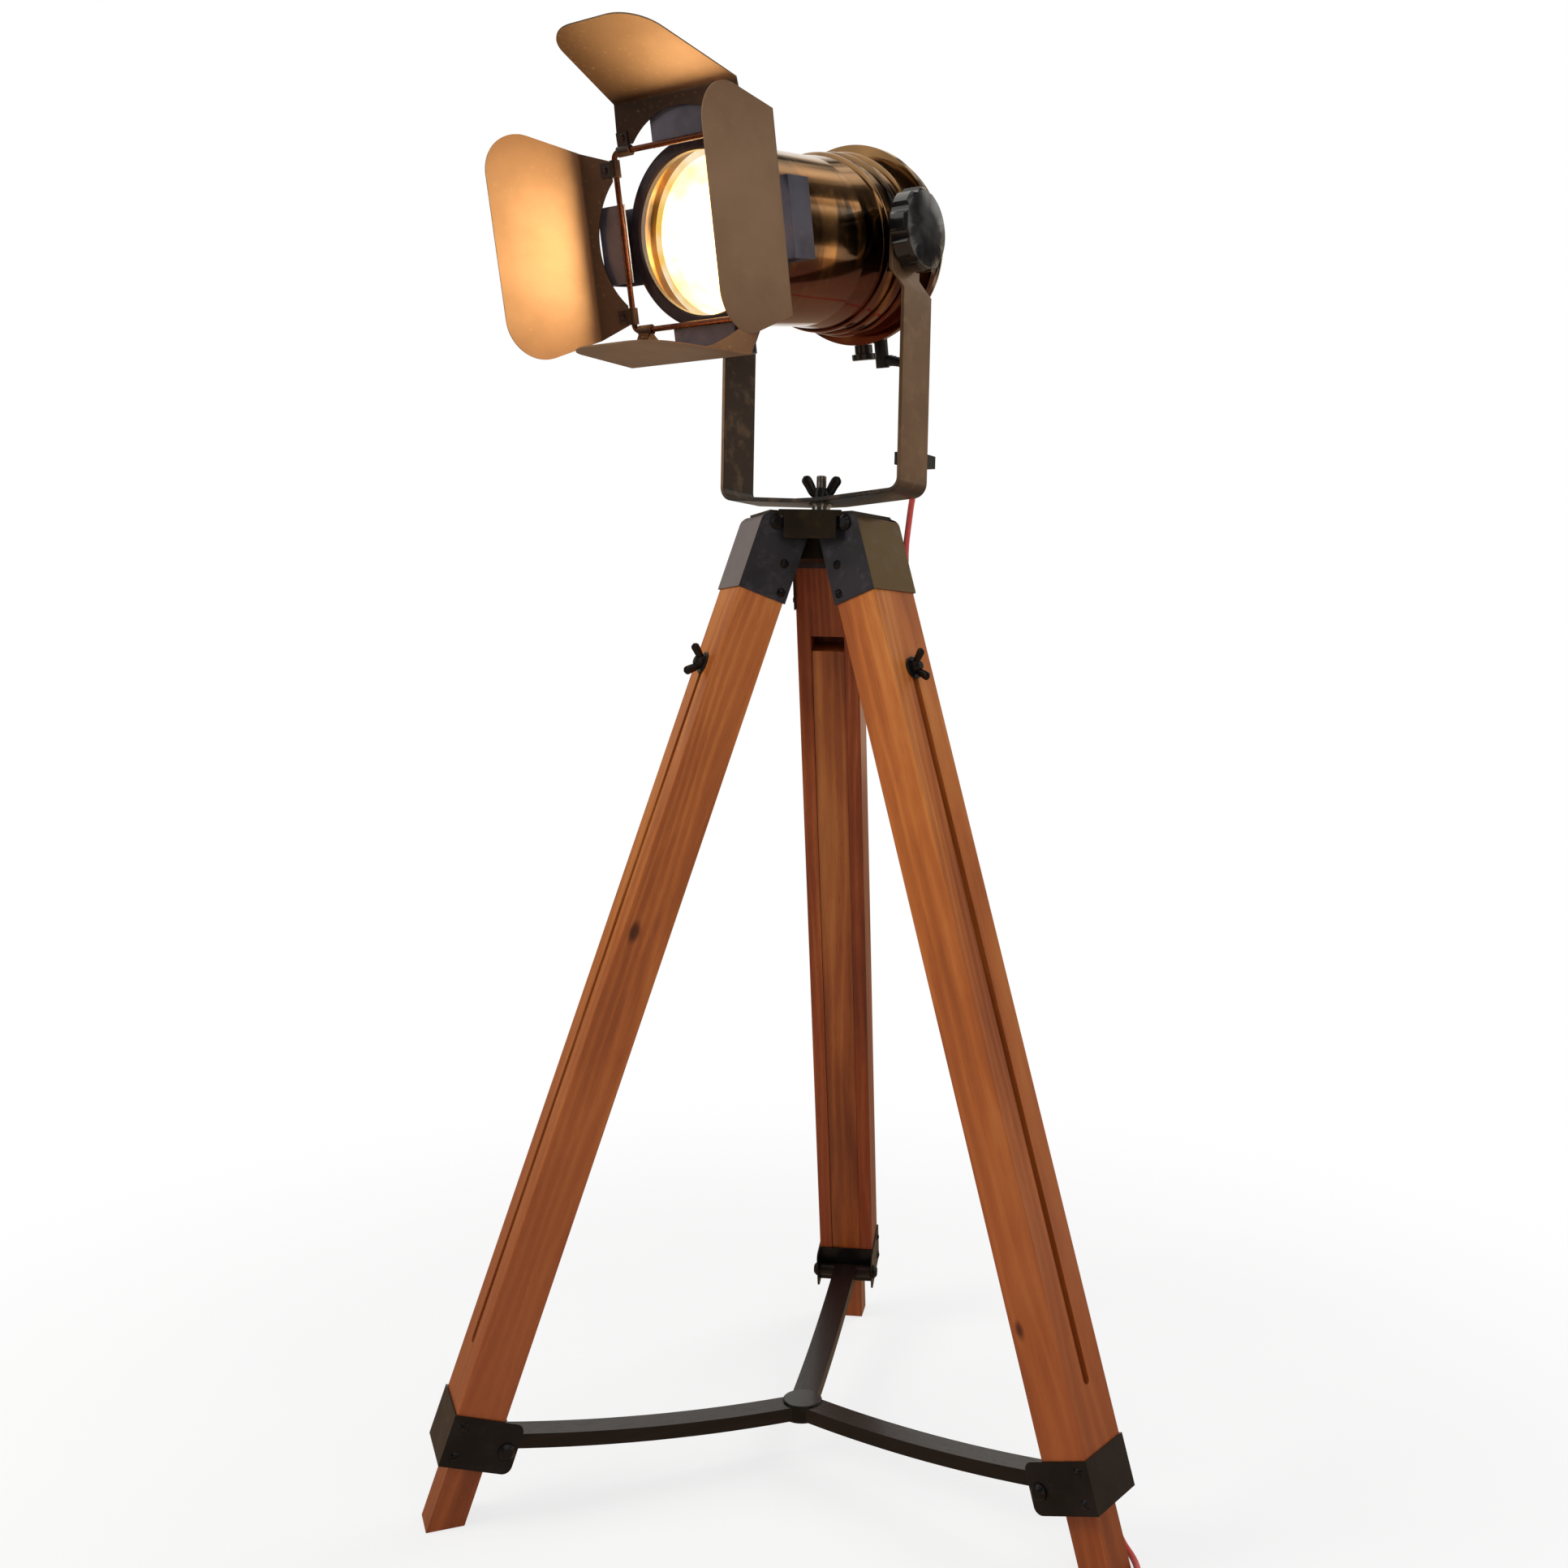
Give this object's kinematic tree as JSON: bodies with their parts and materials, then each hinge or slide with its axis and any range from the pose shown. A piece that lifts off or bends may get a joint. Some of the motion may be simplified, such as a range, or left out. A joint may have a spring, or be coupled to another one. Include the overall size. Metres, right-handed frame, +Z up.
{
  "type": "tripod spotlight floor lamp",
  "caption": "Floor lamp on an adjustable wooden tripod: a spotlight head with folding shutter leaves tilts in a strap yoke that pans on the hub.",
  "frame": {"origin": "on the floor, under the pan axis between the three feet", "axes": "+Z up along the pan axis, -Y the way the beam points before it is tilted, +X towards the leg that carries the cord"},
  "size_m": [0.7109, 0.6789, 1.3161],
  "materials": {
    "black_iron": "black",
    "black_plastic": "black",
    "brace_wood": "dark stained",
    "bright_steel": "bright plated",
    "bulb_glass": "frosted",
    "bulb_metal": "bright",
    "carrier_plate": "plain",
    "clip_paint": "dark grey",
    "dark_fixings": "black",
    "dark_steel": "dark grey satin",
    "head_bronze": "dark bronze gloss",
    "holder_plastic": "cream",
    "hub_paint": "dark olive brown",
    "leaf_paint": "brown bronze satin",
    "leg_wood": "varnished",
    "lug_steel": "dark bronze",
    "red_fabric": "braided",
    "reflector": "polished",
    "yoke_bronze": "brown bronze satin"
  },
  "bodies": {
    "tripod": {"hub": "hub_paint", "pan_stud": "bright_steel", "pan_washer": "bright_steel", "hinge_bolts": "dark_fixings", "cap_screws": "dark_fixings", "collar_screws": "dark_fixings", "brace_bolts": "dark_fixings", "brace_centre": "brace_wood", "cord_clips": "black_plastic", "cord_yoke_leg": "red_fabric", "cord_leg": "red_fabric", "cord_coil": "red_fabric", "plug_body": "black_plastic", "plug_pins": "bright_steel", "leg_cap_rear": "dark_steel", "outer_leg_rear": "leg_wood", "foot_collar_rear": "dark_steel", "brace_arm_rear": "brace_wood", "leg_cap_left": "dark_steel", "outer_leg_left": "leg_wood", "foot_collar_left": "dark_steel", "brace_arm_left": "brace_wood", "leg_cap_right": "dark_steel", "outer_leg_right": "leg_wood", "foot_collar_right": "dark_steel", "brace_arm_right": "brace_wood"},
    "runner_rear": {"inner_leg_rear": "leg_wood"},
    "clamp_rear": {"leg_clamp_rear": "black_iron"},
    "runner_left": {"inner_leg_left": "leg_wood"},
    "clamp_left": {"leg_clamp_left": "black_iron"},
    "runner_right": {"inner_leg_right": "leg_wood"},
    "clamp_right": {"leg_clamp_right": "black_iron"},
    "yoke": {"yoke": "yoke_bronze", "yoke_cord_clip": "black_plastic", "cord_head_yoke": "red_fabric"},
    "pan_nut": {"pan_wing_nut": "black_iron"},
    "head": {"barrel": "head_bronze", "rear_cap": "head_bronze", "front_ring": "head_bronze", "reflector": "reflector", "lamp_carrier": "carrier_plate", "lampholder": "holder_plastic", "bulb_glass": "bulb_glass", "bulb_base": "bulb_metal", "frame_clips": "clip_paint", "wire_frame": "bright_steel", "pivot_bosses": "head_bronze", "pivot_bolts": "bright_steel", "cord_gland": "black_plastic"},
    "knob_right": {"tilt_knob_right": "black_plastic"},
    "knob_left": {"tilt_knob_left": "black_plastic"},
    "latch": {"thumb_screw": "black_plastic"},
    "leaf_top": {"leaf_top": "leaf_paint", "leaf_lugs_top": "lug_steel"},
    "leaf_right": {"leaf_right": "leaf_paint", "leaf_lugs_right": "lug_steel"},
    "leaf_bottom": {"leaf_bottom": "leaf_paint", "leaf_lugs_bottom": "lug_steel"},
    "leaf_left": {"leaf_left": "leaf_paint", "leaf_lugs_left": "lug_steel"}
  },
  "joints": [
    {"name": "leg_rear_slide", "type": "slide", "parent": "tripod", "child": "runner_rear", "axis": [-0.1334, 0.2861, -0.9489], "range_m": [0, 0.65]},
    {"name": "clamp_rear_turn", "type": "hinge", "parent": "runner_rear", "child": "clamp_rear", "pos_m": [-0.05013, 0.1075, 0.8012], "axis": [-0.401, 0.86, 0.3156], "continuous": true},
    {"name": "leg_left_slide", "type": "slide", "parent": "tripod", "child": "runner_left", "axis": [-0.181, -0.2586, -0.9489], "range_m": [0, 0.65]},
    {"name": "clamp_left_turn", "type": "hinge", "parent": "runner_left", "child": "clamp_left", "pos_m": [-0.06803, -0.09716, 0.8012], "axis": [-0.5443, -0.7773, 0.3156], "continuous": true},
    {"name": "leg_right_slide", "type": "slide", "parent": "tripod", "child": "runner_right", "axis": [0.3144, -0.0275, -0.9489], "range_m": [0, 0.65]},
    {"name": "clamp_right_turn", "type": "hinge", "parent": "runner_right", "child": "clamp_right", "pos_m": [0.11816, -0.01034, 0.8012], "axis": [0.9453, -0.0827, 0.3156], "continuous": true},
    {"name": "pan", "type": "hinge", "parent": "tripod", "child": "yoke", "pos_m": [0, 0, 0.96], "axis": [0, 0, 1], "range_deg": [-90, 90], "deforming": ["cord_yoke_leg"]},
    {"name": "pan_nut_turn", "type": "hinge", "parent": "yoke", "child": "pan_nut", "pos_m": [0, 0, 0.964], "axis": [0, 0, 1], "continuous": true},
    {"name": "tilt", "type": "hinge", "parent": "yoke", "child": "head", "pos_m": [0, 0, 1.212], "axis": [1, 0, 0], "range_deg": [-48, 33], "deforming": ["cord_head_yoke"]},
    {"name": "knob_right_turn", "type": "hinge", "parent": "head", "child": "knob_right", "pos_m": [0.1, 0, 1.212], "axis": [1, 0, 0], "continuous": true},
    {"name": "knob_left_turn", "type": "hinge", "parent": "head", "child": "knob_left", "pos_m": [-0.1, 0, 1.212], "axis": [-1, 0, 0], "continuous": true},
    {"name": "latch_turn", "type": "hinge", "parent": "head", "child": "latch", "pos_m": [0, 0.07003, 1.12976], "axis": [0, 0.2079, -0.9781], "continuous": true},
    {"name": "leaf_top_swing", "type": "hinge", "parent": "head", "child": "leaf_top", "pos_m": [0, -0.22198, 1.24149], "axis": [-1, 0, 0], "range_deg": [-112, 5]},
    {"name": "leaf_right_swing", "type": "hinge", "parent": "head", "child": "leaf_right", "pos_m": [0.075, -0.20639, 1.16813], "axis": [0, 0.2079, -0.9781], "range_deg": [-29, 73]},
    {"name": "leaf_bottom_swing", "type": "hinge", "parent": "head", "child": "leaf_bottom", "pos_m": [0, -0.1908, 1.09477], "axis": [1, 0, 0], "range_deg": [-67, 35]},
    {"name": "leaf_left_swing", "type": "hinge", "parent": "head", "child": "leaf_left", "pos_m": [-0.075, -0.20639, 1.16813], "axis": [0, -0.2079, 0.9781], "range_deg": [-7, 110]}
  ]
}
